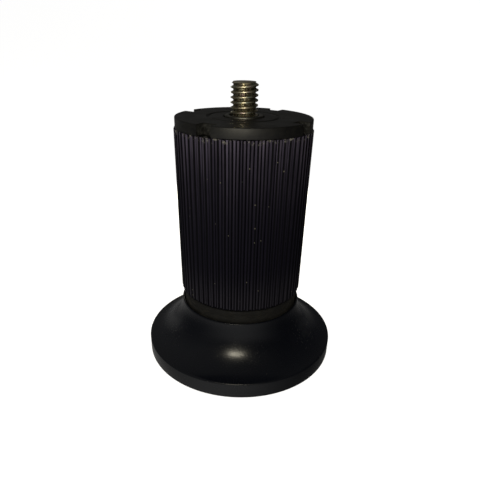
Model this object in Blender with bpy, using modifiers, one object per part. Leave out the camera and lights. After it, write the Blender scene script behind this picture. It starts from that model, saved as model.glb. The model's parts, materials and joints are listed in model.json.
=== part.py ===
"""Sprung levelling foot: a flared base, a ribbed grip that sinks and turns on it, and an M6 stud on top.

Metres, +Z up, origin at the centre of the underside. Three groups of pieces hang from three empties:
base stays on the floor, carrier slides up and down inside it, and upper turns on the carrier.
"""

import math

import bmesh
import bpy

MM = 0.001
GAP = 0.3 * MM  # clearance between neighbouring pieces

# Base: a cove of a quarter ellipse, from the thin lip of the neck down to a straight rim
PAD_PROUD = 0.3 * MM
RIM_RADIUS = 24.06 * MM
RIM_EDGE = 0.25 * MM
LIP_TOP = PAD_PROUD + 14.28 * MM
COVE_CENTRE = (24.25 * MM, PAD_PROUD + 15.25 * MM)
COVE_RADII = (9.3 * MM, 11.3 * MM)
NECK_BORE = 14.58 * MM
SHOULDER_Z = 8.0 * MM
CAVITY_RADIUS = 15.9 * MM
RECESS_RADIUS = 22.0 * MM
RECESS_Z = 2.6 * MM
PAD_THICKNESS = 1.0 * MM
PAD_EDGE = 0.2 * MM
PAD_GROOVES = (17.0 * MM, 10.0 * MM)
PAD_GROOVE_WIDTH = 1.0 * MM
PAD_GROOVE_DEPTH = 0.35 * MM
PLATE_THICKNESS = 1.0 * MM

# Housing tube and its rings
TRAVEL = 2.4 * MM
TUBE_BOTTOM = RECESS_Z + TRAVEL
TUBE_TOP = 56.1 * MM
TUBE_BORE = 12.3 * MM
SLIDE_RADIUS = 14.28 * MM
COLLAR_RADIUS = 14.46 * MM
COLLAR_BOTTOM = PAD_PROUD + 16.3 * MM
SLEEVE_SEAT_RADIUS = 13.3 * MM
CLIP_BOTTOM = 6.3 * MM
CLIP_THICKNESS = 0.6 * MM
CLIP_RADII = (13.7 * MM, 15.5 * MM)
STOP_WASHER_THICKNESS = 0.5 * MM
GLIDE_Z = 11.6 * MM
GLIDE_WIRE = 0.35 * MM
GLIDE_RADIUS = 13.93 * MM
GLIDE_ROOM = 0.25 * MM  # in its groove, above and below the ring
TUBE_EDGE = 0.3 * MM
SKIRT_RADIUS = SLIDE_RADIUS - 0.2 * MM
CLIP_MOUTH = 5.0 * MM

# Ribbed sleeve
SLEEVE_BOTTOM = PAD_PROUD + 17.45 * MM
SLEEVE_TOP = 56.1 * MM
SLEEVE_BORE = SLEEVE_SEAT_RADIUS + GAP
SLEEVE_RADII = (14.98 * MM, 15.27 * MM)  # at the bottom and at the top, over the ribs
SLEEVE_CORNER = 0.8 * MM
RIB_COUNT = 66
RIB_DEPTH = 0.30 * MM
RIB_CREST = 0.54  # shares of the pitch
RIB_FLANK = 0.10
RIB_PHASE = 0.25  # the first rib's middle, past the front

# Cap
CAP_RADIUS = 15.0 * MM
CAP_FLANGE_BOTTOM = SLEEVE_TOP + GAP
CAP_TOP = PAD_PROUD + 58.32 * MM
CAP_PLUG_RADIUS = TUBE_BORE - GAP
CAP_BOTTOM = 51.2 * MM
CAP_EDGE = 0.2 * MM
CAP_GROOVE = (7.4 * MM, 8.0 * MM, 0.3 * MM)  # inner radius, outer radius, depth
CAP_GROOVE_SLOPE = 0.1 * MM
SLOT_WIDTH = 3.4 * MM
SLOT_DEPTH = 2.6 * MM
SLOT_ANGLE = math.radians(-31.5)  # first slot, measured from the front (-Y) towards +X
WASHER_RADII = (3.3 * MM, 4.2 * MM)
WASHER_THICKNESS = 0.48 * MM
WASHER_RECESS = 0.5 * MM

# M6 x 1 stud, a hexagon-headed bolt standing up through the cap
THREAD_RADIUS = 2.95 * MM
THREAD_ROOT = 2.39 * MM
THREAD_PITCH = 1.0 * MM
THREAD_START = 57.1 * MM
STUD_TOP = PAD_PROUD + 65.2 * MM
HEAD_BOTTOM = 51.5 * MM
HEAD_HEIGHT = 4.0 * MM
HEAD_FLATS = 10.0 * MM
GROOVE_PROUD = 0.1 * MM  # how far the thread's cutter stands out of the bolt
GROOVE_ROOT_HALF = 0.1 * MM

# Countersunk screws
SCREW_SHANK = 1.0 * MM
SCREW_HEAD = 2.0 * MM
SCREW_HEAD_HEIGHT = 0.8 * MM
SCREW_HEAD_RIM = 0.1 * MM
SCREW_SUNK = 0.05 * MM
SCREW_TIP = (0.3 * MM, 0.8 * MM)  # lengths of its blunt end and of its whole taper
DRIVE_RADII = (0.8 * MM, 0.45 * MM)  # the driver recess, at its mouth and at its floor
DRIVE_DEPTH = 0.55 * MM
PILOT_SIDES = 12
BASE_SCREW_CIRCLE = 17.7 * MM
BASE_SCREW_LENGTH = 3.3 * MM
PLATE_SCREW_CIRCLE = 8.6 * MM
PLATE_SCREW_LENGTH = 4.4 * MM

# Spring and what holds it
SPRING_WIRE = 1.3 * MM
SPRING_RADIUS = 8.8 * MM
SPRING_ACTIVE_TURNS = 7
SPRING_END_PITCH = 2.8 * MM
SEAT_RADIUS = 11.8 * MM
SEAT_THICKNESS = 1.2 * MM
SPIGOT_RADIUS = SPRING_RADIUS - SPRING_WIRE - GAP
SPIGOT_HEIGHT = 2.4 * MM
SPIGOT_EDGE = 0.5 * MM
POST_RADIUS = 5.4 * MM
POST_TOP = 37.0 * MM
POST_BORE = 3.6 * MM
POST_EDGE = 0.6 * MM
POST_ROOF = 2.5 * MM
GUIDE_BOTTOM = 26.0 * MM
GUIDE_EDGE = 0.4 * MM
STOP_EDGE = 1.5 * MM
TOP_PLATE_RADIUS = CAP_PLUG_RADIUS - 0.4 * MM
TOP_PLATE_THICKNESS = 1.2 * MM
TOP_PLATE_BOTTOM = CAP_BOTTOM - GAP - TOP_PLATE_THICKNESS
THRUST_RADII = (3.5 * MM, 11.0 * MM)
THRUST_THICKNESS = 0.8 * MM
THRUST_BOTTOM = TOP_PLATE_BOTTOM - GAP - THRUST_THICKNESS
UPPER_SEAT_TOP = THRUST_BOTTOM - GAP

# Steps in one turn of each kind of round piece, along the cove, and round the glide ring's wire
OUTER_STEPS = 48
COVE_STEPS = 9
RING_SIDES = 6
INNER_STEPS = 32
SCREW_STEPS = 12
THREAD_STEPS = 18
SPRING_STEPS = 14
SMOOTH_ANGLE = math.radians(35)

FRAME_HEIGHT = {"base": 0.0, "carrier": UPPER_SEAT_TOP, "upper": THRUST_BOTTOM + THRUST_THICKNESS}

FINISHES = {  # name: (colour, roughness, metallic)
    "gloss_plastic": ((0.010, 0.011, 0.013), 0.22, 0.0),
    "olive_plastic": ((0.016, 0.015, 0.012), 0.42, 0.0),
    "grip_rubber": ((0.010, 0.009, 0.012), 0.62, 0.0),
    "pad_rubber": ((0.020, 0.020, 0.021), 0.85, 0.0),
    "zinc_steel": ((0.56, 0.52, 0.40), 0.30, 1.0),
    "bright_steel": ((0.60, 0.60, 0.62), 0.35, 1.0),
    "spring_steel": ((0.30, 0.30, 0.32), 0.35, 1.0),
    "grey_metal": ((0.22, 0.22, 0.21), 0.45, 1.0),
    "nylon": ((0.72, 0.70, 0.64), 0.45, 0.0),
    "soft_rubber": ((0.030, 0.028, 0.028), 0.80, 0.0),
}


def clear_scene():
    for old in list(bpy.data.objects):
        bpy.data.objects.remove(old, do_unlink=True)


def make_collection(name):
    group = bpy.data.collections.new(name)
    bpy.context.scene.collection.children.link(group)
    return group


def make_material(name, colour, roughness, metallic):
    finish = bpy.data.materials.new(name)
    finish.use_nodes = True
    shader = finish.node_tree.nodes["Principled BSDF"]
    shader.inputs["Base Color"].default_value = (*colour, 1.0)
    shader.inputs["Roughness"].default_value = roughness
    shader.inputs["Metallic"].default_value = metallic
    return finish


def make_frame(name, parent=None):
    """An empty on the common axis, at the height where its pieces slide or turn."""
    frame = bpy.data.objects.new(name, None)
    frame.empty_display_size = 5 * MM
    PARTS.objects.link(frame)
    frame.location.z = FRAME_HEIGHT[name] - (FRAME_HEIGHT[parent.name] if parent else 0.0)
    frame.parent = parent
    return frame


def add_part(name, data, finish, frame, place=(0.0, 0.0, 0.0), angle=0.0):
    """Adds one sub-part under its frame; place is in world coordinates, at rest."""
    part = bpy.data.objects.new(name, data)
    PARTS.objects.link(part)
    data.materials.clear()
    data.materials.append(MATERIALS[finish])
    part.parent = frame
    part.location = (place[0], place[1], place[2] - FRAME_HEIGHT[frame.name])
    part.rotation_euler.z = angle
    return part


def add_cutter(name, data, place=(0.0, 0.0, 0.0), angle=0.0):
    cutter = bpy.data.objects.new(name, data)
    CUTTERS.objects.link(cutter)
    cutter.hide_render = True
    cutter.display_type = "WIRE"
    cutter.location = place
    cutter.rotation_euler.z = angle
    return cutter


def cut(part, cutter, operation="DIFFERENCE"):
    boolean = part.modifiers.new(f"{operation.lower()} {cutter.name}", "BOOLEAN")
    boolean.operation = operation
    boolean.solver = "EXACT"
    boolean.object = cutter


def evaluated_mesh(thing):
    bpy.context.view_layer.update()
    seen = thing.evaluated_get(bpy.context.evaluated_depsgraph_get())
    return bpy.data.meshes.new_from_object(seen)


def shade_round(mesh):
    mesh.shade_smooth()
    mesh.set_sharp_from_angle(angle=SMOOTH_ANGLE)


def turned_mesh(name, outline, steps, rise=0.0, turns=1):
    """Turns an outline of (radius, height) points about Z. An outline that touches the axis at both
    ends stays open there, any other is a closed loop. It runs down its outer side."""
    on_axis = outline[0][0] == 0.0 and outline[-1][0] == 0.0
    profile = bpy.data.meshes.new(name)
    count = len(outline)
    edges = [(i, (i + 1) % count) for i in range(count - 1 if on_axis else count)]
    profile.from_pydata([(radius, 0.0, height) for radius, height in outline], edges, [])
    blank = bpy.data.objects.new(name, profile)
    bpy.context.scene.collection.objects.link(blank)
    screw = blank.modifiers.new("turn", "SCREW")
    screw.steps = screw.render_steps = steps
    screw.screw_offset = rise
    screw.iterations = turns
    screw.use_merge_vertices = rise == 0.0
    screw.merge_threshold = 0.000001
    mesh = evaluated_mesh(blank)
    bpy.data.objects.remove(blank, do_unlink=True)
    bpy.data.meshes.remove(profile)
    mesh.name = name
    shade_round(mesh)
    return mesh


def cylinder_mesh(name, radius, height, sides):
    """A cylinder that stands on Z = 0."""
    mesh = bpy.data.meshes.new(name)
    shape = bmesh.new()
    bmesh.ops.create_cone(
        shape, cap_ends=True, segments=sides, radius1=radius, radius2=radius, depth=height
    )
    bmesh.ops.translate(shape, vec=(0.0, 0.0, height / 2), verts=shape.verts)
    shape.to_mesh(mesh)
    shape.free()
    return mesh


def box_mesh(name, size):
    mesh = bpy.data.meshes.new(name)
    shape = bmesh.new()
    bmesh.ops.create_cube(shape, size=1.0)
    bmesh.ops.scale(shape, vec=size, verts=shape.verts)
    shape.to_mesh(mesh)
    shape.free()
    return mesh


def arc(centre, radii, start, end, count):
    """Points from start to end degrees on an ellipse; 0 degrees points outwards, 90 upwards."""
    points = []
    for i in range(count + 1):
        angle = math.radians(start + (end - start) * i / count)
        points.append(
            (centre[0] + radii[0] * math.cos(angle), centre[1] + radii[1] * math.sin(angle))
        )
    return points


def ring_outline(inner, outer, bottom, top):
    return [(inner, top), (outer, top), (outer, bottom), (inner, bottom)]


def disc_outline(radius, bottom, top):
    return [(0.0, top), (radius, top), (radius, bottom), (0.0, bottom)]


def polar(radius, angle):
    """Places a point by its angle from the front (-Y) towards +X."""
    return (radius * math.sin(angle), -radius * math.cos(angle))


def cove_angle(height):
    """The angle on the cove's ellipse, in degrees, at a height on its inner, lower quarter."""
    return 180 + math.degrees(math.asin((COVE_CENTRE[1] - height) / COVE_RADII[1]))


def make_base_shell():
    lip_angle = cove_angle(LIP_TOP - RIM_EDGE)
    rim_cosine = (COVE_CENTRE[0] - RIM_RADIUS + RIM_EDGE) / COVE_RADII[0]
    rim_angle = 180 + math.degrees(math.acos(rim_cosine))
    cove = arc(COVE_CENTRE, COVE_RADII, lip_angle, rim_angle, COVE_STEPS)
    lip_radius = cove[0][0]
    rim_centre = (RIM_RADIUS - RIM_EDGE, cove[-1][1] - RIM_EDGE)
    outline = [
        (NECK_BORE, LIP_TOP),
        (lip_radius - RIM_EDGE / 2, LIP_TOP),
        *cove,
        *arc(rim_centre, (RIM_EDGE, RIM_EDGE), 60, 0, 1),
        (RIM_RADIUS, PAD_PROUD + RIM_EDGE),
        (RIM_RADIUS - RIM_EDGE, PAD_PROUD),
        (RECESS_RADIUS, PAD_PROUD),
        (RECESS_RADIUS, RECESS_Z),
        (CAVITY_RADIUS, RECESS_Z),
        (CAVITY_RADIUS, SHOULDER_Z),
        (NECK_BORE, SHOULDER_Z),
    ]
    shell = add_part("base_shell", turned_mesh("base_shell", outline, OUTER_STEPS), "gloss_plastic", BASE)
    pilot_length = BASE_SCREW_LENGTH - PLATE_THICKNESS + GAP
    for number in range(3):
        x, y = polar(BASE_SCREW_CIRCLE, math.tau * number / 3)
        pilot = cylinder_mesh("pilot", SCREW_SHANK + GAP, pilot_length + MM, PILOT_SIDES)
        cut(shell, add_cutter(f"base_pilot_{number + 1}", pilot, (x, y, RECESS_Z - MM)))


def make_base_closure():
    """The rubber pad let into the underside, and the steel plate above it."""
    pad_radius = RECESS_RADIUS - GAP
    pad = [(0.0, PAD_THICKNESS), (pad_radius, PAD_THICKNESS), (pad_radius, PAD_EDGE)]
    pad.append((pad_radius - PAD_EDGE, 0.0))
    half = PAD_GROOVE_WIDTH / 2
    for radius in PAD_GROOVES:
        pad += [(radius + half, 0.0), (radius + half / 2, PAD_GROOVE_DEPTH)]
        pad += [(radius - half / 2, PAD_GROOVE_DEPTH), (radius - half, 0.0)]
    pad.append((0.0, 0.0))
    add_part("foot_pad", turned_mesh("foot_pad", pad, INNER_STEPS), "pad_rubber", BASE)

    plate_bottom = PAD_THICKNESS + GAP
    disc = disc_outline(RECESS_RADIUS - GAP, 0.0, PLATE_THICKNESS)
    plate = add_part(
        "base_plate",
        turned_mesh("base_plate", disc, INNER_STEPS),
        "bright_steel",
        BASE,
        (0, 0, plate_bottom),
    )
    for number in range(3):
        place = (*polar(BASE_SCREW_CIRCLE, math.tau * number / 3), plate_bottom)
        cut(plate, add_cutter(f"base_sink_{number + 1}", countersink_mesh(PLATE_THICKNESS), place))
        add_part(
            f"base_screw_{number + 1}", screw_mesh(BASE_SCREW_LENGTH), "bright_steel", BASE, place
        )


def countersink_mesh(plate_thickness):
    """The hole for a countersunk screw, wider than the screw by the gap and past both faces."""
    over = 0.5 * MM
    outline = [
        (0.0, plate_thickness + over),
        (SCREW_SHANK + GAP, plate_thickness + over),
        (SCREW_SHANK + GAP, SCREW_HEAD_HEIGHT),
        (SCREW_HEAD + GAP, 0.0),
        (SCREW_HEAD + GAP, -over),
        (0.0, -over),
    ]
    return turned_mesh("countersink", outline, SCREW_STEPS)


def screw_mesh(length):
    """A countersunk screw, head down, with its driver recess open below and a pointed end."""
    blunt, taper = SCREW_TIP
    drive_mouth, drive_floor = DRIVE_RADII
    outline = [
        (0.0, length),
        (SCREW_SHANK / 2, length - blunt),
        (SCREW_SHANK, length - taper),
        (SCREW_SHANK, SCREW_HEAD_HEIGHT),
        (SCREW_HEAD, SCREW_SUNK + SCREW_HEAD_RIM),
        (SCREW_HEAD, SCREW_SUNK),
        (drive_mouth, SCREW_SUNK),
        (drive_floor, SCREW_SUNK + DRIVE_DEPTH),
        (0.0, SCREW_SUNK + DRIVE_DEPTH),
    ]
    return turned_mesh("countersunk_screw", outline, SCREW_STEPS)


def make_lower_spring_seat():
    """Seat and guide post in one moulding, hollow from below."""
    bottom = RECESS_Z
    flange_top = bottom + SEAT_THICKNESS
    spigot_top = flange_top + SPIGOT_HEIGHT
    outline = [
        (0.0, POST_TOP),
        (POST_RADIUS - POST_EDGE, POST_TOP),
        (POST_RADIUS, POST_TOP - POST_EDGE),
        (POST_RADIUS, spigot_top),
        (SPIGOT_RADIUS - SPIGOT_EDGE, spigot_top),
        (SPIGOT_RADIUS, spigot_top - SPIGOT_EDGE),
        (SPIGOT_RADIUS, flange_top),
        (SEAT_RADIUS, flange_top),
        (SEAT_RADIUS, bottom),
        (POST_BORE, bottom),
        (POST_BORE, POST_TOP - POST_ROOF),
        (0.0, POST_TOP - POST_ROOF),
    ]
    add_part(
        "lower_spring_seat", turned_mesh("lower_spring_seat", outline, INNER_STEPS), "nylon", BASE
    )


def make_spring():
    """A compression spring with a closed turn at each end."""
    bottom = RECESS_Z + SEAT_THICKNESS + GAP
    top = UPPER_SEAT_TOP - SEAT_THICKNESS - GAP
    rise = top - bottom - 2 * SPRING_WIRE
    active_pitch = (rise - 2 * SPRING_END_PITCH) / SPRING_ACTIVE_TURNS
    curve = bpy.data.curves.new("spring", "CURVE")
    curve.dimensions = "3D"
    curve.bevel_depth = SPRING_WIRE
    curve.bevel_resolution = 2
    curve.use_fill_caps = True
    coil = curve.splines.new("POLY")
    count = SPRING_STEPS * (SPRING_ACTIVE_TURNS + 2) + 1
    coil.points.add(count - 1)
    for i, point in enumerate(coil.points):
        turn = i / SPRING_STEPS
        height = bottom + SPRING_WIRE + SPRING_END_PITCH * min(turn, 1.0)
        height += active_pitch * min(max(turn - 1.0, 0.0), SPRING_ACTIVE_TURNS)
        height += SPRING_END_PITCH * max(turn - 1.0 - SPRING_ACTIVE_TURNS, 0.0)
        x, y = polar(SPRING_RADIUS, math.tau * turn)
        point.co = (x, y, height, 1.0)
    add_part("spring", curve, "spring_steel", BASE)


def make_carrier():
    """The pieces between spring and cap, which slide without turning."""
    flange_bottom = UPPER_SEAT_TOP - SEAT_THICKNESS
    guide_bore = POST_RADIUS + GAP
    outline = [
        (0.0, UPPER_SEAT_TOP),
        (SEAT_RADIUS, UPPER_SEAT_TOP),
        (SEAT_RADIUS, flange_bottom),
        (SPIGOT_RADIUS, flange_bottom),
        (SPIGOT_RADIUS, GUIDE_BOTTOM + GUIDE_EDGE),
        (SPIGOT_RADIUS - GUIDE_EDGE, GUIDE_BOTTOM),
        (guide_bore, GUIDE_BOTTOM),
        (guide_bore, flange_bottom),
        (0.0, flange_bottom),
    ]
    add_part(
        "upper_spring_seat", turned_mesh("upper_spring_seat", outline, INNER_STEPS), "nylon", CARRIER
    )
    stop_top = flange_bottom - GAP
    stop_bottom = POST_TOP + TRAVEL + GAP
    plug = [
        (0.0, stop_top),
        (POST_RADIUS, stop_top),
        (POST_RADIUS, stop_bottom + STOP_EDGE),
        (POST_RADIUS - STOP_EDGE, stop_bottom),
        (0.0, stop_bottom),
    ]
    add_part("bump_stop", turned_mesh("bump_stop", plug, INNER_STEPS), "soft_rubber", CARRIER)
    washer = ring_outline(*THRUST_RADII, THRUST_BOTTOM, THRUST_BOTTOM + THRUST_THICKNESS)
    add_part("thrust_washer", turned_mesh("thrust_washer", washer, INNER_STEPS), "nylon", CARRIER)


def make_housing_tube():
    clip_groove = (CLIP_BOTTOM - GAP, CLIP_BOTTOM + CLIP_THICKNESS + GAP)
    glide_half = GLIDE_WIRE + GLIDE_ROOM
    groove_floor = CLIP_RADII[0] - GAP
    outline = [
        (TUBE_BORE, TUBE_TOP),
        (SLEEVE_SEAT_RADIUS, TUBE_TOP),
        (SLEEVE_SEAT_RADIUS, SLEEVE_BOTTOM - GAP),
        (COLLAR_RADIUS, SLEEVE_BOTTOM - GAP),
        (COLLAR_RADIUS, COLLAR_BOTTOM),
        (SLIDE_RADIUS, COLLAR_BOTTOM - GAP / 3),
        (SLIDE_RADIUS, GLIDE_Z + glide_half),
        (groove_floor, GLIDE_Z + glide_half),
        (groove_floor, GLIDE_Z - glide_half),
        (SLIDE_RADIUS, GLIDE_Z - glide_half),
        (SLIDE_RADIUS, clip_groove[1]),
        (groove_floor, clip_groove[1]),
        (groove_floor, clip_groove[0]),
        (SKIRT_RADIUS, clip_groove[0]),
        (SKIRT_RADIUS, TUBE_BOTTOM + TUBE_EDGE),
        (SKIRT_RADIUS - TUBE_EDGE, TUBE_BOTTOM),
        (TUBE_BORE, TUBE_BOTTOM),
    ]
    mesh = turned_mesh("housing_tube", outline, OUTER_STEPS)
    add_part("housing_tube", mesh, "olive_plastic", UPPER)


def make_tube_rings():
    """The glide ring in the neck, and the clip and washer that stop the tube under the shoulder."""
    bpy.ops.mesh.primitive_torus_add(
        major_radius=GLIDE_RADIUS,
        minor_radius=GLIDE_WIRE,
        major_segments=OUTER_STEPS,
        minor_segments=RING_SIDES,
    )
    ring = bpy.context.object
    mesh = ring.data
    bpy.data.objects.remove(ring, do_unlink=True)
    shade_round(mesh)
    add_part("glide_ring", mesh, "soft_rubber", UPPER, (0, 0, GLIDE_Z))

    clip_outline = ring_outline(*CLIP_RADII, 0.0, CLIP_THICKNESS)
    clip = add_part(
        "retaining_clip",
        turned_mesh("retaining_clip", clip_outline, OUTER_STEPS),
        "spring_steel",
        UPPER,
        (0, 0, CLIP_BOTTOM),
    )
    clip_width = CLIP_RADII[1] - CLIP_RADII[0]
    mouth = box_mesh("clip_mouth", (CLIP_MOUTH, 4 * clip_width, 6 * CLIP_THICKNESS))
    cut(clip, add_cutter("clip_mouth", mouth, (0, CLIP_RADII[1], CLIP_BOTTOM)))

    washer_top = SHOULDER_Z - GAP
    washer = ring_outline(
        SLIDE_RADIUS + GAP, CAVITY_RADIUS - GAP, washer_top - STOP_WASHER_THICKNESS, washer_top
    )
    add_part("stop_washer", turned_mesh("stop_washer", washer, OUTER_STEPS), "nylon", UPPER)


def make_grip_sleeve():
    """A turned sleeve with four steps to each rib: two hold its crest, two dip into the valley."""
    bottom_radius, top_radius = SLEEVE_RADII
    corner = arc(
        (bottom_radius - SLEEVE_CORNER, SLEEVE_BOTTOM + SLEEVE_CORNER),
        (SLEEVE_CORNER, SLEEVE_CORNER),
        0,
        -90,
        1,
    )
    outline = [
        (SLEEVE_BORE, SLEEVE_TOP),
        (top_radius, SLEEVE_TOP),
        *corner,
        (SLEEVE_BORE, SLEEVE_BOTTOM),
    ]
    mesh = turned_mesh("grip_sleeve", outline, 4 * RIB_COUNT)
    crest_start = RIB_PHASE - RIB_CREST / 2
    crest_end = RIB_PHASE + RIB_CREST / 2
    shares = (crest_start, crest_end, crest_end + RIB_FLANK, 1.0 + crest_start - RIB_FLANK)
    for vertex in mesh.vertices:
        radius = math.hypot(vertex.co.x, vertex.co.y)
        step = round(math.atan2(vertex.co.x, -vertex.co.y) / math.tau * 4 * RIB_COUNT)
        rib, corner = divmod(step, 4)
        if corner >= 2 and radius > SLEEVE_BORE + RIB_DEPTH:
            radius -= RIB_DEPTH
        vertex.co.xy = polar(radius, math.tau * (rib + shares[corner]) / RIB_COUNT)
    add_part("grip_sleeve", mesh, "grip_rubber", UPPER)


def make_top_cap():
    groove_inner, groove_outer, groove_depth = CAP_GROOVE
    bore = THREAD_RADIUS + GAP
    recess_radius = WASHER_RADII[1] + GAP
    recess_z = CAP_TOP - WASHER_RECESS
    outline = [
        (bore, recess_z),
        (recess_radius, recess_z),
        (recess_radius, CAP_TOP),
        (groove_inner - CAP_GROOVE_SLOPE, CAP_TOP),
        (groove_inner + CAP_GROOVE_SLOPE, CAP_TOP - groove_depth),
        (groove_outer - CAP_GROOVE_SLOPE, CAP_TOP - groove_depth),
        (groove_outer + CAP_GROOVE_SLOPE, CAP_TOP),
        (CAP_RADIUS - CAP_EDGE, CAP_TOP),
        (CAP_RADIUS, CAP_TOP - CAP_EDGE),
        (CAP_RADIUS, CAP_FLANGE_BOTTOM),
        (CAP_PLUG_RADIUS, CAP_FLANGE_BOTTOM),
        (CAP_PLUG_RADIUS, CAP_BOTTOM),
        (bore, CAP_BOTTOM),
    ]
    cap = add_part("top_cap", turned_mesh("top_cap", outline, OUTER_STEPS), "olive_plastic", UPPER)
    slot_reach = 2 * SLOT_DEPTH
    slot_height = 2 * (CAP_TOP - CAP_FLANGE_BOTTOM) + 2 * MM
    for number in range(4):
        angle = SLOT_ANGLE + math.tau * number / 4
        slot = box_mesh("slot", (SLOT_WIDTH, slot_reach, slot_height))
        place = (*polar(CAP_RADIUS - SLOT_DEPTH + slot_reach / 2, angle), CAP_TOP)
        cut(cap, add_cutter(f"cap_slot_{number + 1}", slot, place, angle))
    pocket_radius = (HEAD_FLATS / 2 + GAP) / math.cos(math.pi / 6)
    pocket_depth = HEAD_BOTTOM + HEAD_HEIGHT + GAP - CAP_BOTTOM
    pocket = cylinder_mesh("head_pocket", pocket_radius, pocket_depth + MM, 6)
    cut(cap, add_cutter("head_pocket", pocket, (0, 0, CAP_BOTTOM - MM)))
    pilot_depth = PLATE_SCREW_LENGTH - TOP_PLATE_THICKNESS
    for number in range(3):
        x, y = polar(PLATE_SCREW_CIRCLE, math.tau * (number + 0.5) / 3)
        pilot = cylinder_mesh("pilot", SCREW_SHANK + GAP, pilot_depth + MM, PILOT_SIDES)
        cut(cap, add_cutter(f"cap_pilot_{number + 1}", pilot, (x, y, CAP_BOTTOM - MM)))


def make_top_plate():
    disc = disc_outline(TOP_PLATE_RADIUS, 0.0, TOP_PLATE_THICKNESS)
    plate = add_part(
        "top_plate",
        turned_mesh("top_plate", disc, INNER_STEPS),
        "bright_steel",
        UPPER,
        (0, 0, TOP_PLATE_BOTTOM),
    )
    for number in range(3):
        place = (*polar(PLATE_SCREW_CIRCLE, math.tau * (number + 0.5) / 3), TOP_PLATE_BOTTOM)
        sink = countersink_mesh(TOP_PLATE_THICKNESS)
        cut(plate, add_cutter(f"plate_sink_{number + 1}", sink, place))
        add_part(
            f"plate_screw_{number + 1}", screw_mesh(PLATE_SCREW_LENGTH), "bright_steel", UPPER, place
        )


def make_stud():
    """A bolt: hexagon head, shank and a right-hand thread cut by a coiled wedge."""
    chamfer = THREAD_RADIUS - THREAD_ROOT
    shank_outline = [
        (0.0, STUD_TOP),
        (THREAD_ROOT, STUD_TOP),
        (THREAD_RADIUS, STUD_TOP - chamfer),
        (THREAD_RADIUS, HEAD_BOTTOM + MM),
        (0.0, HEAD_BOTTOM + MM),
    ]
    stud = add_part("stud", turned_mesh("stud", shank_outline, THREAD_STEPS), "zinc_steel", UPPER)
    head = cylinder_mesh("stud_head", HEAD_FLATS / 2 / math.cos(math.pi / 6), HEAD_HEIGHT, 6)
    cut(stud, add_cutter("stud_head", head, (0, 0, HEAD_BOTTOM)), "UNION")

    outside = THREAD_RADIUS + GROOVE_PROUD
    mouth_half = GROOVE_ROOT_HALF + (outside - THREAD_ROOT) * math.tan(math.pi / 6)
    wedge = [
        (THREAD_ROOT, GROOVE_ROOT_HALF),
        (outside, mouth_half),
        (outside, -mouth_half),
        (THREAD_ROOT, -GROOVE_ROOT_HALF),
    ]
    turns = math.ceil((STUD_TOP - THREAD_START) / THREAD_PITCH) + 1
    groove = turned_mesh("thread_groove", wedge, THREAD_STEPS, THREAD_PITCH, turns)
    shape = bmesh.new()
    shape.from_mesh(groove)
    bmesh.ops.remove_doubles(shape, verts=shape.verts, dist=0.000001)
    rims = [edge for edge in shape.edges if edge.is_boundary]
    bmesh.ops.holes_fill(shape, edges=rims, sides=0)
    bmesh.ops.recalc_face_normals(shape, faces=shape.faces)
    shape.to_mesh(groove)
    shape.free()
    cut(stud, add_cutter("thread_groove", groove, (0, 0, THREAD_START)))

    washer = ring_outline(*WASHER_RADII, 0.0, WASHER_THICKNESS)
    washer_bottom = CAP_TOP - WASHER_RECESS + GAP
    add_part(
        "stud_washer",
        turned_mesh("stud_washer", washer, INNER_STEPS),
        "grey_metal",
        UPPER,
        (0, 0, washer_bottom),
    )


clear_scene()
PARTS = make_collection("levelling_foot")
CUTTERS = make_collection("cutters")
MATERIALS = {name: make_material(name, *values) for name, values in FINISHES.items()}
BASE = make_frame("base")
CARRIER = make_frame("carrier", BASE)
UPPER = make_frame("upper", CARRIER)

make_base_shell()
make_base_closure()
make_lower_spring_seat()
make_spring()
make_carrier()
make_housing_tube()
make_tube_rings()
make_grip_sleeve()
make_top_cap()
make_top_plate()
make_stud()
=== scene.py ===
"""Looks of the sprung levelling foot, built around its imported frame.

Fine meshes stand for the faceted solids that show, and for the pad and the spring. Heights and radii
come from the frame's boxes where a box gives them; the rest are the named sizes below, in metres.
"""

import json
import math
import random

import bmesh
import bpy
from mathutils import Matrix, Vector


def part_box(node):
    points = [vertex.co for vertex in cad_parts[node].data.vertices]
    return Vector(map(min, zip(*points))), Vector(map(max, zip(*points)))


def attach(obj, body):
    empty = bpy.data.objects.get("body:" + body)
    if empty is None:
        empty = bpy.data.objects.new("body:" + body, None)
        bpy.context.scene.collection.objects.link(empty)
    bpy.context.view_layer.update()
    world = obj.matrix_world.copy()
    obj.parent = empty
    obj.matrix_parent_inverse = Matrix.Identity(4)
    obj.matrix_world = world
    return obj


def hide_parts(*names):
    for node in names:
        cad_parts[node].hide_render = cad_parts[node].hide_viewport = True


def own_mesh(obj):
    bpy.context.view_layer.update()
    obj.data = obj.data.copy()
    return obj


MM = 0.001
GAP = 0.3 * MM
SNUG = 0.05 * MM  # what the fine meshes leave of that gap where rubber meets plastic
OVERRUN = 1.0 * MM  # how far a cutter or a hidden end reaches past the face it meets

# Roundings of turned corners
CRISP = 0.05 * MM
FINE = 0.08 * MM
SMALL = 0.10 * MM
MEDIUM = 0.15 * MM
SOFT = 0.20 * MM
BROAD = 0.25 * MM

# Base
COVE_CENTRE = (24.25 * MM, 15.55 * MM)
COVE_RADII = (9.3 * MM, 11.3 * MM)
COVE_STEPS = 56
LIP_DROP = 0.12 * MM  # the cove starts this far below the lip's top
LIP_ROUND = ((0.14 * MM, 0.0), (0.06 * MM, 0.03 * MM), (0.015 * MM, 0.08 * MM))  # inwards, down
NECK_BORE = 14.58 * MM
SHOULDER_Z = 8.0 * MM
SHOULDER_ROUND = 0.30 * MM
CAVITY_RADIUS = 15.9 * MM
RECESS_RADIUS = 22.0 * MM
RECESS_Z = 2.6 * MM
RIM_EDGE = 0.35 * MM
RIM_TURN = math.radians(84)  # how far the rim's edge still has to turn where the cove ends
RIM_SHARES = (0.3, 0.6, 0.85, 1.0)  # of that turn, one for each point

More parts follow.
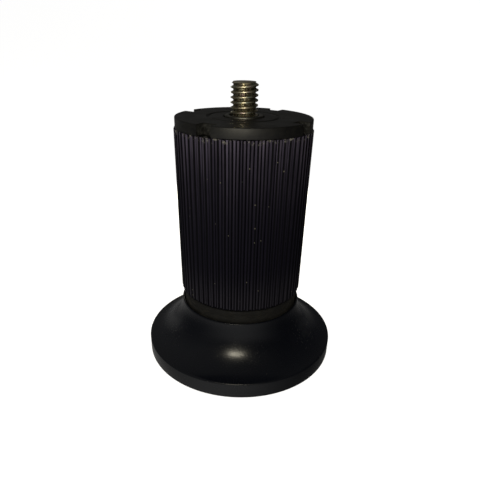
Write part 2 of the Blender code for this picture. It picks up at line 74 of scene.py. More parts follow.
# Tube
SLIDE_RADIUS = 14.28 * MM
SKIRT_RELIEF = 0.2 * MM
COLLAR_Z = 16.6 * MM
COLLAR_STEP = 0.10 * MM
COLLAR_ROUND = 0.04 * MM
NECK_LINE = (0.35 * MM, 0.42 * MM, 0.55 * MM, 0.62 * MM)  # a fine line's corners, below the collar
NECK_LINE_DEPTH = 0.05 * MM
GLIDE_PLAY = 0.25 * MM
TUBE_BORE = 12.3 * MM
SLEEVE_SEAT = 13.3 * MM
GROOVE_FLOOR = 13.4 * MM

# Grip
RIB_COUNT = 66
RIB_DEPTH = 0.30 * MM
RIB_CREST = 0.16  # in pitches, like the next four
RIB_FLANK = 0.34
RIB_PHASE = 0.25  # where the first rib's middle is, past the front
RIB_SHIFT = 0.05  # how far a rib may stand to one side
RIB_WANDER = 0.02  # and how far it swings on its way up
WANDER_LENGTH = 4 * MM
RIB_CROWN = 0.03 * MM
RIB_LOWEST = 0.04 * MM  # how far a rib may stay below full height
RIB_POINTS = 24  # round each rib
RIB_SEED = 7
GRIP_BOTTOM_RADIUS = 14.98 * MM
GRIP_CORNER = 0.8 * MM
GRIP_TOP_EDGE = ((0.12 * MM, 0.0), (0.03 * MM, 0.05 * MM))  # inwards, down
GRIP_TOP_EDGE_HEIGHT = 0.16 * MM
GRIP_LEVELS = 14
GRIP_CORNER_STEPS = 6

# Cap
CAP_TOP = 58.62 * MM
GROOVE = (7.4 * MM, 8.1 * MM, 0.28 * MM)  # inner radius, outer radius, depth
GROOVE_SLOPE = 0.12 * MM
RECESS_ROUND = 0.12 * MM
SLOT_COUNT = 4
SLOT_WIDTH = 3.4 * MM
SLOT_DEPTH = 2.6 * MM
SLOT_ANGLE = math.radians(-31.5)
CUTTER_LENGTH = 10 * MM
CUTTER_HEIGHT = 8 * MM
HEAD_FLATS = 10.0 * MM
LEVEL = 0.001 * MM  # points this close in height lie on one flat face

# Stud
THREAD_RADIUS = 2.95 * MM
THREAD_ROOT = 2.39 * MM
THREAD_PITCH = 1.0 * MM
THREAD_START = 57.1 * MM
THREAD_STEPS = 56
THREAD_CLEAR = 0.08 * MM  # how far the groove's cutter stands out of the thread
ROOT_HALF = 0.07 * MM
ROOT_ROUND = (0.07 * MM, 0.09 * MM)  # out, along
HEAD_HEIGHT = 4.0 * MM
WASHER_BORE = 3.3 * MM
WASHER_ROUND = 0.14 * MM

# Spring
SPRING_WIRE = 1.3 * MM
SPRING_RADIUS = 8.8 * MM
SPRING_TURNS = 7
SPRING_END_PITCH = 2.8 * MM
SPRING_STEPS = 40  # to a turn
SPRING_SIDES = 14

# Pad
PAD_GROOVES = (17.0 * MM, 10.0 * MM)
PAD_GROOVE_HALF = 0.5 * MM
PAD_GROOVE_DEPTH = 0.35 * MM

# Camera: place, downward tilt and roll. The lens and the sensor's width are in millimetres.
CAMERA_PLACE = (0.0, -101.4 * MM, 72.9 * MM)
CAMERA_TILT = math.radians(28.77)
CAMERA_ROLL = math.radians(1.2)
CAMERA_SENSOR = 36.0
CAMERA_LENS = 33.24
CAMERA_SHIFT = (-0.0011, 0.0915)

# Light: the key stands beside the camera. The others are lower than the cap's top, so that they light
# the sides and the back and leave the front as the key lights it.
KEY_PLACE = (-10.0 * MM, -104.0 * MM, 75.0 * MM)
KEY_SIZE = (44 * MM, 14 * MM)
KEY_POWER = 0.0345
KEY_COLOUR = (1.0, 0.93, 0.74)
BACK_PLACE = (-20.0 * MM, 130.0 * MM, 50.0 * MM)
BACK_SIZE = (30 * MM, 14 * MM)
BACK_POWER = 0.013
SIDE_DISTANCE = 150 * MM
SIDE_ANGLES = (math.radians(-115), math.radians(115), math.radians(180))
SIDE_Z = 28 * MM
SIDE_SIZE = (90 * MM, 60 * MM)
SIDE_POWER = 0.085
LIGHT_TARGET = (0.0, 0.0, 30 * MM)

# Room: a soft light on matte surfaces, and what reflections see. A pair of shares is at the right and
# at the left, unless a comment says otherwise.
ROOM_COLOUR = (1.0, 0.985, 0.95)
ROOM_SOFT = 0.16
SOFT_SHARES = (0.30, 1.70)
SEEN_SHARES = (0.36, 1.80)
SKY_SEEN = (0.022, 0.079)  # level, and high up
FRONT_SEEN = 0.34
FRONT_FALL = 2.5  # how fast the front darkens towards the sides
BACK_SEEN = 0.075
FLOOR_SEEN = 0.25
FLOOR_SHARES = (0.25, 1.15)
FLOOR_DEPTH_SHARES = (0.60, 1.15)  # at the back, and at the front
BEHIND_SEEN = 0.16

# Floor
FLOOR_FLAT = 0.7  # radius of the flat part
FLOOR_CURVE = ((0.9, 0.5), (0.5, 0.5))  # centre and radii of the rise round it
FLOOR_CURVE_END = -0.12  # radians below level
FLOOR_CURVE_STEPS = 24
FLOOR_GREYS = ((0.86, 0.86, 0.86), (0.88, 0.88, 0.88))
FLOOR_ROUGHNESS = 0.9
FLOOR_GLOW = 0.88

# Meshes
FINE_STEPS = 192  # round a turned piece that shows
PLAIN_STEPS = 96
SHARP_ANGLE = math.radians(32)
MERGE = 0.0001 * MM


# ---------------------------------------------------------------- shapes


def filleted(corners, arc_points=4):
    """Closed outline of (radius, height) points. A corner with a third value is rounded by that radius."""
    points = []
    count = len(corners)
    for index, corner in enumerate(corners):
        here = Vector(corner[:2])
        if len(corner) == 2:
            points.append(tuple(here))
            continue
        fillet = corner[2]
        before = (Vector(corners[index - 1][:2]) - here).normalized()
        after = (Vector(corners[(index + 1) % count][:2]) - here).normalized()
        half = before.angle(after) / 2
        centre = here + (before + after).normalized() * fillet / math.sin(half)
        start = here + before * fillet / math.tan(half) - centre
        end = here + after * fillet / math.tan(half) - centre
        sweep = math.pi - 2 * half
        for step in range(arc_points + 1):
            share = step / arc_points
            spoke = math.sin((1 - share) * sweep) * start + math.sin(share * sweep) * end
            points.append(tuple(centre + spoke / math.sin(sweep)))
    return points


def ellipse_arc(centre, radii, start, end, count):
    """Points from start to end, in radians, on an ellipse."""
    points = []
    for step in range(count + 1):
        angle = start + (end - start) * step / count
        points.append(
            (centre[0] + radii[0] * math.cos(angle), centre[1] + radii[1] * math.sin(angle))
        )
    return points


def new_piece(name, shape):
    """Makes an object from a bmesh, with its faces pointing out and its corners sharp."""
    bmesh.ops.remove_doubles(shape, verts=shape.verts, dist=MERGE)
    bmesh.ops.recalc_face_normals(shape, faces=shape.faces)
    mesh = bpy.data.meshes.new(name)
    shape.to_mesh(mesh)
    shape.free()
    mesh.shade_smooth()
    mesh.set_sharp_from_angle(angle=SHARP_ANGLE)
    piece = bpy.data.objects.new(name, mesh)
    bpy.context.scene.collection.objects.link(piece)
    return piece


def revolved(name, outline, steps, warp=None):
    """Turns a closed outline about Z. warp(angle, radius, height) may move each point's radius."""
    shape = bmesh.new()
    rings = []
    for step in range(steps):
        angle = math.tau * step / steps
        ring = []
        for radius, height in outline:
            if warp:
                radius = warp(angle, radius, height)
            ring.append(
                shape.verts.new((radius * math.sin(angle), -radius * math.cos(angle), height))
            )
        rings.append(ring)
    count = len(outline)
    for step, ring in enumerate(rings):
        following = rings[(step + 1) % steps]
        for index in range(count):
            after = (index + 1) % count
            if outline[index][0] == 0.0 and outline[after][0] == 0.0:
                continue
            shape.faces.new((ring[index], ring[after], following[after], following[index]))
    return new_piece(name, shape)


def polar(radius, angle, height):
    """A point by its angle from the front (-Y) towards +X."""
    return Vector((radius * math.sin(angle), -radius * math.cos(angle), height))


def box_cutter(name, size, place, angle):
    """A box centred on a place and turned about Z."""
    shape = bmesh.new()
    bmesh.ops.create_cube(shape, size=1.0)
    bmesh.ops.scale(shape, vec=size, verts=shape.verts)
    bmesh.ops.transform(
        shape, matrix=Matrix.Translation(place) @ Matrix.Rotation(angle, 4, "Z"), verts=shape.verts
    )
    return new_piece(name, shape)


def prism(name, across_flats, bottom, top):
    """A hexagon prism about Z."""
    shape = bmesh.new()
    radius = across_flats / 2 / math.cos(math.pi / 6)
    bmesh.ops.create_cone(
        shape, cap_ends=True, segments=6, radius1=radius, radius2=radius, depth=top - bottom
    )
    bmesh.ops.translate(shape, vec=(0.0, 0.0, (top + bottom) / 2), verts=shape.verts)
    return new_piece(name, shape)


def combine(piece, others, operation="DIFFERENCE"):
    """Cuts the others from the piece, or joins them to it, and removes them."""
    for other in others:
        boolean = piece.modifiers.new("cut", "BOOLEAN")
        boolean.operation = operation
        boolean.solver = "EXACT"
        boolean.object = other
    apply_modifiers(piece)
    for other in others:
        bpy.data.objects.remove(other, do_unlink=True)


def apply_modifiers(piece):
    """Makes what the modifiers show the piece's own mesh."""
    bpy.context.view_layer.update()
    seen = piece.evaluated_get(bpy.context.evaluated_depsgraph_get())
    mesh = bpy.data.meshes.new_from_object(seen)
    piece.modifiers.clear()
    piece.data = mesh
    mesh.shade_smooth()
    mesh.set_sharp_from_angle(angle=SHARP_ANGLE)


def flatten_top(piece, height):
    """Marks the edges round the flat faces at this height sharp, so that they shade flat."""
    shape = bmesh.new()
    shape.from_mesh(piece.data)
    for edge in shape.edges:
        on_top = []
        for face in edge.link_faces:
            on_top.append(all(abs(vert.co.z - height) < LEVEL for vert in face.verts))
        if any(on_top) and not all(on_top):
            edge.smooth = False
    shape.to_mesh(piece.data)
    shape.free()


# ---------------------------------------------------------------- finishes

# Colours, in linear light. A pair is what a noise or a mask blends, at 0 and at 1.
GLOSS_BLACKS = ((0.0042, 0.0053, 0.0094), (0.0056, 0.0069, 0.0115))
BASE_DUST = (0.09, 0.085, 0.075)
OLIVE_BLACKS = ((0.0070, 0.0069, 0.0060), (0.0120, 0.0117, 0.0101))
# painted shade for the cap's rim
RIM_SHADE_BLACK = (0.0016, 0.0016, 0.0022)
SCUFF_GREY = (0.035, 0.034, 0.030)
SLOT_DIRT = (0.065, 0.065, 0.062)
CAP_DUST = (0.10, 0.095, 0.08)
# grime on the bare ring; its near-black end is also painted shadow under the grip
RING_GRIME_AND_SHADE = ((0.0004, 0.0004, 0.0003), (0.0190, 0.0166, 0.0118))
# painted shade on the grip's rib flanks
FLANK_SHADE_BLACK = (0.0030, 0.0030, 0.0052)
# plain rubber, and rubber paled near the cap by dust and by painted light
CREST_PURPLES_DUST_LIT = ((0.0112, 0.0103, 0.0192), (0.142, 0.124, 0.184))
VALLEY_PURPLES_DUST_LIT = ((0.0126, 0.0114, 0.0216), (0.168, 0.148, 0.226))
FOOT_DUST = (0.060, 0.057, 0.072)
SPECKS = ((0.20, 0.18, 0.10), (0.20, 0.20, 0.20))
CRUMBS = (0.26, 0.25, 0.23)
ZINC_GREEN = (0.50, 0.56, 0.46)
ZINC_GOLD = (0.70, 0.64, 0.46)
ZINC_PINK = (0.66, 0.50, 0.50)
ROOT_GRIME = (0.060, 0.052, 0.036)
PAD_BLACK = (0.016, 0.016, 0.017)
SOFT_BLACK = (0.022, 0.020, 0.020)
CHALK = 1.7  # how many times paler plain rubber is in its chalky patches
PLATED_GREYS = ((0.62, 0.63, 0.65), (0.45, 0.46, 0.47))
SPRING_GREYS = ((0.34, 0.33, 0.33), (0.16, 0.15, 0.15))
METAL_GREYS = ((0.20, 0.20, 0.18), (0.10, 0.10, 0.09))
CREAMS = ((0.60, 0.57, 0.48), (0.72, 0.70, 0.62))

EDGE_RADIUS = 15.0 * MM  # past it the cap's rim is scuffed and darkened with painted shade
SLOT_DIRT_RADIUS = 12.2 * MM  # and past this one its slots are dirty


class Nodes:
    """Short calls for the shader nodes that the finishes and the room share."""

    def __init__(self, tree, place):
        self.tree = tree
        self.place = tree.nodes.new("ShaderNodeTexCoord").outputs[place]

    def feed(self, socket, value):
        """Links an output to a socket, or sets the socket to a number or a colour."""
        if isinstance(value, bpy.types.NodeSocket):
            self.tree.links.new(value, socket)
        elif isinstance(value, tuple):
            socket.default_value = (*value, 1.0)[: len(socket.default_value)]
        else:
            socket.default_value = value

    def math(self, operation, first, second=0.0):
        node = self.tree.nodes.new("ShaderNodeMath")
        node.operation = operation
        self.feed(node.inputs[0], first)
        self.feed(node.inputs[1], second)
        return node.outputs[0]

    def between(self, value, low, high, to_low=0.0, to_high=1.0):
        """Maps low..high of a value onto to_low..to_high, clamped and eased."""
        node = self.tree.nodes.new("ShaderNodeMapRange")
        node.interpolation_type = "SMOOTHSTEP"
        for socket, amount in zip(node.inputs[:5], (value, low, high, to_low, to_high)):
            self.feed(socket, amount)
        return node.outputs[0]

    def axes(self):
        """The place's three parts."""
        split = self.tree.nodes.new("ShaderNodeSeparateXYZ")
        self.feed(split.inputs[0], self.place)
        return split.outputs


class Finish(Nodes):
    """A material being built."""

    def __init__(self, name, metallic=0.0, specular=0.5):
        self.material = bpy.data.materials.new(name)
        self.material.use_nodes = True
        super().__init__(self.material.node_tree, "Object")
        self.shader = self.tree.nodes["Principled BSDF"]
        self.shader.inputs["Metallic"].default_value = metallic
        self.shader.inputs["Specular IOR Level"].default_value = specular
        self.normal = None

    def stretched(self, stretch):
        """The place, scaled along each axis: less than 1 makes features longer."""
        node = self.tree.nodes.new("ShaderNodeMapping")
        self.feed(node.inputs["Vector"], self.place)
        node.inputs["Scale"].default_value = stretch
        return node.outputs[0]

    def noise(self, size, detail=3.0, roughness=0.55, stretch=None, distortion=0.0):
        """Noise from 0 to 1 whose features are about size metres across."""
        node = self.tree.nodes.new("ShaderNodeTexNoise")
        self.feed(node.inputs["Vector"], self.stretched(stretch) if stretch else self.place)
        node.inputs["Scale"].default_value = 1.0 / size
        node.inputs["Detail"].default_value = detail
        node.inputs["Roughness"].default_value = roughness
        node.inputs["Distortion"].default_value = distortion
        return node.outputs["Fac"]

    def cells(self, size):
        """Voronoi cells: the distance to each cell's point, and a random value for each cell."""
        node = self.tree.nodes.new("ShaderNodeTexVoronoi")
        self.feed(node.inputs["Vector"], self.place)
        node.inputs["Scale"].default_value = 1.0 / size
        split = self.tree.nodes.new("ShaderNodeSeparateColor")
        self.feed(split.inputs[0], node.outputs["Color"])
        return node.outputs["Distance"], split.outputs[0]

    def mix(self, share, first, second):
        """A colour between first, at a share of 0, and second, at 1."""
        node = self.tree.nodes.new("ShaderNodeMix")
        node.data_type = "RGBA"
        self.feed(node.inputs[0], share)
        self.feed(node.inputs[6], first)
        self.feed(node.inputs[7], second)
        return node.outputs[2]

    def radius(self):
        """Distance from the Z axis."""
        x, y, _ = self.axes()
        squares = self.math("ADD", self.math("MULTIPLY", x, x), self.math("MULTIPLY", y, y))
        return self.math("SQRT", squares)

    def height(self):
        return self.axes()[2]

    def specks(self, size, reach, rarity):
        """Small round specks: 1 inside a speck. Rarity is the share of cells left without one."""
        distance, chance = self.cells(size)
        spot = self.between(distance, reach, reach * 0.6)
        return self.math("MULTIPLY", spot, self.math("GREATER_THAN", chance, rarity))

    def bump(self, height, depth):
        """Raises the surface by height (0 to 1) times depth metres."""
        node = self.tree.nodes.new("ShaderNodeBump")
        node.inputs["Strength"].default_value = 1.0
        node.inputs["Distance"].default_value = depth
        self.feed(node.inputs["Height"], height)
        if self.normal:
            self.feed(node.inputs["Normal"], self.normal)
        self.normal = node.outputs[0]

    def done(self, colour, roughness):
        """Joins what was made to the shader and returns the material."""
        self.feed(self.shader.inputs["Base Color"], colour)
        self.feed(self.shader.inputs["Roughness"], roughness)
        if self.normal:
            self.feed(self.shader.inputs["Normal"], self.normal)
        return self.material


def gloss_plastic():
    """Glossy bluish black moulding with soft smears, hairline scratches and a little dust."""
    finish = Finish("base_gloss", specular=0.42)
    smear = finish.noise(9 * MM, detail=2.0)
    grain = finish.noise(0.5 * MM, detail=4.0)
    colour = finish.mix(smear, *GLOSS_BLACKS)
    lines = finish.noise(2.2 * MM, detail=2.0, stretch=(1.0, 0.25, 2.0), distortion=1.6)
    off_line = finish.math("ABSOLUTE", finish.math("SUBTRACT", lines, 0.5))
    scratch = finish.between(off_line, 0.006, 0.0)
    dust = finish.specks(1.1 * MM, reach=0.09, rarity=0.90)
    colour = finish.mix(finish.math("MULTIPLY", dust, 0.6), colour, BASE_DUST)
    rough = finish.between(smear, 0.3, 0.75, 0.22, 0.30)
    rough = finish.math("ADD", rough, finish.math("MULTIPLY", scratch, 0.12))
    rough = finish.math("ADD", rough, finish.math("MULTIPLY", dust, 0.4))
    finish.bump(grain, 0.004 * MM)
    finish.bump(scratch, -0.003 * MM)
    return finish.done(colour, rough)


def olive_plastic():
    """Semi-gloss olive black moulding with a fine grain. Its outer rim is scuffed and darkened with
    blotchy painted shade, dirt lies in the slots, and streaks of grime cross the bare ring under the grip,
    whose top is darkened further with a painted shadow of the grip."""
    finish = Finish("housing_plastic", specular=0.55)
    radius = finish.radius()
    height = finish.height()
    patch = finish.noise(3.5 * MM, detail=4.0)
    grain = finish.noise(0.22 * MM, detail=3.0)
    colour = finish.mix(patch, *OLIVE_BLACKS)

    # edge masks the cap's rim: it carries blotchy painted shade and real scuffs
    edge = finish.between(radius, EDGE_RADIUS - 0.3 * MM, EDGE_RADIUS)
    scuff = finish.between(finish.noise(0.8 * MM, detail=4.0, stretch=(1.0, 1.0, 3.0)), 0.52, 0.70)
    scuff = finish.math("MULTIPLY", scuff, edge)
    # The rim is painted dark in blotches: painted shade standing for the rim being dimly lit.
    painted_shade_blotch = finish.between(finish.noise(1.2 * MM, detail=4.0, roughness=0.7), 0.42, 0.60, 0.30, 0.95)
    colour = finish.mix(finish.math("MULTIPLY", edge, painted_shade_blotch), colour, RIM_SHADE_BLACK)
    colour = finish.mix(finish.math("MULTIPLY", scuff, 0.15), colour, SCUFF_GREY)

    past_inner_end = finish.between(radius, SLOT_DIRT_RADIUS, SLOT_DIRT_RADIUS + 0.2 * MM)
    inside_edge = finish.between(radius, EDGE_RADIUS, EDGE_RADIUS - 0.2 * MM)
    below_top = finish.between(height, CAP_TOP - 0.1 * MM, CAP_TOP - 0.4 * MM)
    in_slot = finish.math("MULTIPLY", finish.math("MULTIPLY", past_inner_end, inside_edge), below_top)
    dirt = finish.between(finish.noise(0.6 * MM, detail=4.0, roughness=0.7), 0.40, 0.70)
    colour = finish.mix(finish.math("MULTIPLY", in_slot, dirt), colour, SLOT_DIRT)

    dust = finish.specks(0.8 * MM, reach=0.10, rarity=0.88)
    colour = finish.mix(finish.math("MULTIPLY", dust, 0.5), colour, CAP_DUST)
    rough = finish.between(patch, 0.3, 0.7, 0.42, 0.54)
    rough = finish.math("ADD", rough, finish.math("MULTIPLY", dust, 0.3))

    ring = finish.between(height, COLLAR_Z + 2.0 * MM, COLLAR_Z + 1.6 * MM)
    drawn_out = finish.noise(0.5 * MM, detail=4.0, roughness=0.7, stretch=(0.3, 0.3, 3.0))
    streaks_and_shade = finish.between(drawn_out, 0.44, 0.60)
    thinned = finish.between(finish.noise(3 * MM), 0.40, 0.60, 0.3)
    # Near the top of the bare ring the streaks are held down, so it stays near black there: a painted
    # shadow under the grip.
    out_of_grip_shadow = finish.between(height, COLLAR_Z + 1.0 * MM, COLLAR_Z + 0.3 * MM, 0.4)
    streaks_and_shade = finish.math("MULTIPLY", finish.math("MULTIPLY", streaks_and_shade, thinned), out_of_grip_shadow)
    colour = finish.mix(ring, colour, finish.mix(streaks_and_shade, *RING_GRIME_AND_SHADE))
    rough = finish.math("ADD", rough, finish.math("MULTIPLY", ring, 0.30))
    finish.bump(finish.math("MULTIPLY", ring, streaks_and_shade), 0.05 * MM)
    finish.bump(grain, 0.010 * MM)
    finish.bump(patch, 0.02 * MM)
    return finish.done(colour, rough)


def ribbed_rubber():
    """Purple-black rubber whose flanks are darkened with painted shade. Crests and valleys pale towards
    the cap with dust and with painted light, and with dust again a little at the foot, with light specks
    all over and crumbs just under the cap."""
    finish = Finish("grip_rubber", specular=0.06)
    low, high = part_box("grip_sleeve")
    slope = (high.x - GRIP_BOTTOM_RADIUS) / (high.z - low.z)
    height = finish.height()
    rise = finish.math("SUBTRACT", height, low.z)

    # The radius less the taper, so that each depth below the ribs' tops is one value all the way up.
    skin = finish.math("SUBTRACT", finish.radius(), finish.math("MULTIPLY", rise, slope))

    def below_ribs(from_depth, to_depth):
        """0 at one depth below the ribs' tops and 1 at the other."""
        return finish.between(skin, GRIP_BOTTOM_RADIUS - from_depth, GRIP_BOTTOM_RADIUS - to_depth)

    valley = below_ribs(0.275 * MM, 0.295 * MM)
    bore_kept_dark = below_ribs(0.34 * MM, 0.31 * MM)
    valley = finish.math("MULTIPLY", valley, bore_kept_dark)
    crest = below_ribs(0.09 * MM, 0.04 * MM)
    ridge = finish.math("ADD", crest, valley)

    # Paler towards the cap: partly dust, partly painted light for the key shining nearer and more squarely
    # there.
    dust_and_top_light = finish.math("POWER", finish.math("DIVIDE", rise, high.z - low.z), 5.0)
    by_rib = finish.noise(1.7 * MM, detail=2.0, stretch=(1.0, 1.0, 0.06))
    by_patch = finish.noise(2.5 * MM, detail=4.0, stretch=(1.0, 1.0, 0.35))
    uneven = finish.math(
        "MULTIPLY",
        finish.between(by_rib, 0.30, 0.70, 0.35),
        finish.between(by_patch, 0.20, 0.70, 0.5),
    )
    dust_and_top_light = finish.math("MULTIPLY", dust_and_top_light, uneven)
    # Off the crests the rubber starts nearly black: painted shade on the flanks.
    colour = finish.mix(crest, FLANK_SHADE_BLACK, finish.mix(dust_and_top_light, *CREST_PURPLES_DUST_LIT))
    colour = finish.mix(valley, colour, finish.mix(dust_and_top_light, *VALLEY_PURPLES_DUST_LIT))

    foot = finish.between(height, low.z + 11 * MM, low.z + 1 * MM, 0.0, 0.46)
    colour = finish.mix(finish.math("MULTIPLY", foot, ridge), colour, FOOT_DUST)

    dust = finish.specks(1.4 * MM, reach=0.13, rarity=0.83)
    speck_colour = finish.mix(finish.noise(4 * MM), *SPECKS)
    colour = finish.mix(finish.math("MULTIPLY", dust, 0.8), colour, speck_colour)

    near_cap = finish.between(height, high.z - 0.9 * MM, high.z - 0.1 * MM)
    crumb = finish.between(finish.noise(0.8 * MM, detail=5.0, roughness=0.7), 0.54, 0.62)
    crumb = finish.math("MULTIPLY", crumb, near_cap)
    colour = finish.mix(finish.math("MULTIPLY", crumb, 0.9), colour, CRUMBS)

    rough = finish.between(valley, 0.0, 1.0, 0.60, 0.45)
    rough = finish.math("ADD", rough, finish.math("MULTIPLY", dust, 0.3))
    finish.bump(finish.noise(0.16 * MM, detail=4.0), 0.012 * MM)
    finish.bump(dust, 0.02 * MM)
    return finish.done(colour, rough)


def plain_rubber(name, colour, roughness):
    """Matte moulded rubber with a fine grain and chalky patches."""
    finish = Finish(name, specular=0.3)
    patch = finish.noise(4 * MM, detail=4.0)
    paler = tuple(CHALK * part for part in colour)
    finish.bump(finish.noise(0.25 * MM, detail=4.0), 0.02 * MM)
    return finish.done(
        finish.mix(patch, colour, paler),
        finish.between(patch, 0.3, 0.7, roughness - 0.06, roughness + 0.06),
    )


def yellow_zinc():
    """Yellow-passivated zinc: gold with green and pink drifts, dull and dirty in the thread roots."""
    finish = Finish("yellow_zinc", metallic=1.0)
    drift = finish.noise(1.1 * MM, detail=2.0, distortion=0.5)
    gold = finish.mix(finish.between(drift, 0.30, 0.50), ZINC_GREEN, ZINC_GOLD)
    gold = finish.mix(finish.between(drift, 0.55, 0.72), gold, ZINC_PINK)
    stud_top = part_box("stud")[1].z
    root = finish.between(finish.radius(), THREAD_RADIUS - 0.2 * MM, THREAD_ROOT + 0.03 * MM)
    below_end = finish.between(finish.height(), stud_top - 0.1 * MM, stud_top - 0.6 * MM)
    root = finish.math("MULTIPLY", root, below_end)
    grime = finish.math("MULTIPLY", root, finish.between(finish.noise(0.5 * MM, detail=4.0), 0.25, 0.6))
    colour = finish.mix(grime, gold, ROOT_GRIME)
    rough = finish.between(finish.noise(0.35 * MM, detail=4.0), 0.3, 0.7, 0.24, 0.40)
    rough = finish.math("ADD", rough, finish.math("MULTIPLY", grime, 0.25))
    turning = finish.noise(0.08 * MM, detail=2.0, stretch=(0.2, 0.2, 1.0))
    finish.bump(turning, 0.008 * MM)
    return finish.done(colour, rough)


def steel(name, bright, dark, roughness):
    """Plated or oiled steel with faint tool marks and dull patches."""
    finish = Finish(name, metallic=1.0)
    patch = finish.noise(2.2 * MM, detail=4.0)
    colour = finish.mix(finish.between(patch, 0.35, 0.7), bright, dark)
    finish.bump(finish.noise(0.12 * MM, detail=2.0, stretch=(1.0, 1.0, 0.2)), 0.006 * MM)
    rough = finish.between(patch, 0.3, 0.7, roughness - 0.07, roughness + 0.10)
    return finish.done(colour, rough)


def nylon():
    """Natural nylon: cream, faintly cloudy, with light passing just under the skin."""
    finish = Finish("nylon", specular=0.45)
    cloud = finish.noise(3 * MM, detail=3.0)
    finish.bump(finish.noise(0.3 * MM, detail=3.0), 0.01 * MM)
    finish.shader.inputs["Subsurface Weight"].default_value = 0.15
    finish.shader.inputs["Subsurface Radius"].default_value = (1.0 * MM, 0.8 * MM, 0.5 * MM)
    return finish.done(finish.mix(cloud, *CREAMS), finish.between(cloud, 0.3, 0.7, 0.40, 0.52))


FINISH_MAKERS = {
    "base_gloss": gloss_plastic,
    "housing_plastic": olive_plastic,
    "grip_rubber": ribbed_rubber,
    "pad_rubber": lambda: plain_rubber("pad_rubber", PAD_BLACK, 0.82),
    "soft_rubber": lambda: plain_rubber("soft_rubber", SOFT_BLACK, 0.75),
    "yellow_zinc": yellow_zinc,
    "plated_steel": lambda: steel("plated_steel", *PLATED_GREYS, 0.32),
    "spring_steel": lambda: steel("spring_steel", *SPRING_GREYS, 0.35),
    "grey_metal": lambda: steel("grey_metal", *METAL_GREYS, 0.45),
    "nylon": nylon,
}


# ---------------------------------------------------------------- pieces


def make_base_body():
    """The flared base: thin lip, neck that flares out in one sweep, narrow rim and hollow underside."""
    low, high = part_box("base_shell")
    lip_sine = (COVE_CENTRE[1] - high.z + LIP_DROP) / COVE_RADII[1]
    rim_cosine = (COVE_CENTRE[0] - high.x + RIM_EDGE) / COVE_RADII[0]
    cove = ellipse_arc(
        COVE_CENTRE,
        COVE_RADII,
        math.pi + math.asin(lip_sine),
        math.pi + math.acos(rim_cosine),
        COVE_STEPS,
    )
    lip_radius = cove[0][0]
    rim_z = cove[-1][1]
    lip = [(lip_radius - inwards, high.z - down) for inwards, down in LIP_ROUND]
    rim = []
    for share in RIM_SHARES:
        turn = RIM_TURN * (1 - share)
        rim.append(
            (
                high.x - RIM_EDGE + RIM_EDGE * math.cos(turn),
                rim_z - RIM_EDGE + RIM_EDGE * math.sin(turn),
            )
        )
    corners = [
        *lip,
        *cove,
        *rim,
        (high.x, low.z, SOFT),
        (RECESS_RADIUS, low.z, MEDIUM),
        (RECESS_RADIUS, RECESS_Z),
        (CAVITY_RADIUS, RECESS_Z, SOFT),
        (CAVITY_RADIUS, SHOULDER_Z, SHOULDER_ROUND),
        (NECK_BORE, SHOULDER_Z, SOFT),
        (NECK_BORE, high.z, FINE),
    ]
    return revolved("base_body", filleted(corners), FINE_STEPS)


def make_tube_body():
    """The housing tube, whose collar shows as the bare ring under the grip."""
    low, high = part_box("housing_tube")
    glide_low, glide_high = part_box("glide_ring")
    clip_low, clip_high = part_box("retaining_clip")
    collar_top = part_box("grip_sleeve")[0].z - SNUG
    skirt = SLIDE_RADIUS - SKIRT_RELIEF
    line_top, line_upper, line_lower, line_bottom = (COLLAR_Z - drop for drop in NECK_LINE)
    line_floor = SLIDE_RADIUS - NECK_LINE_DEPTH
    corners = [
        (TUBE_BORE, high.z, SOFT),
        (SLEEVE_SEAT, high.z, SOFT),
        (SLEEVE_SEAT, collar_top, MEDIUM),
        (high.x, collar_top, SMALL),
        (high.x, COLLAR_Z, COLLAR_ROUND),
        (SLIDE_RADIUS, COLLAR_Z - COLLAR_STEP),
        (SLIDE_RADIUS, line_top),
        (line_floor, line_upper),
        (line_floor, line_lower),
        (SLIDE_RADIUS, line_bottom),
        (SLIDE_RADIUS, glide_high.z + GLIDE_PLAY, SMALL),
        (GROOVE_FLOOR, glide_high.z + GLIDE_PLAY),
        (GROOVE_FLOOR, glide_low.z - GLIDE_PLAY),
        (SLIDE_RADIUS, glide_low.z - GLIDE_PLAY, SMALL),
        (SLIDE_RADIUS, clip_high.z + GAP, CRISP),
        (GROOVE_FLOOR, clip_high.z + GAP),
        (GROOVE_FLOOR, clip_low.z - GAP),
        (skirt, clip_low.z - GAP, CRISP),
        (skirt, low.z, BROAD),
        (TUBE_BORE, low.z, SOFT),
    ]
    return revolved("tube_body", filleted(corners), FINE_STEPS)


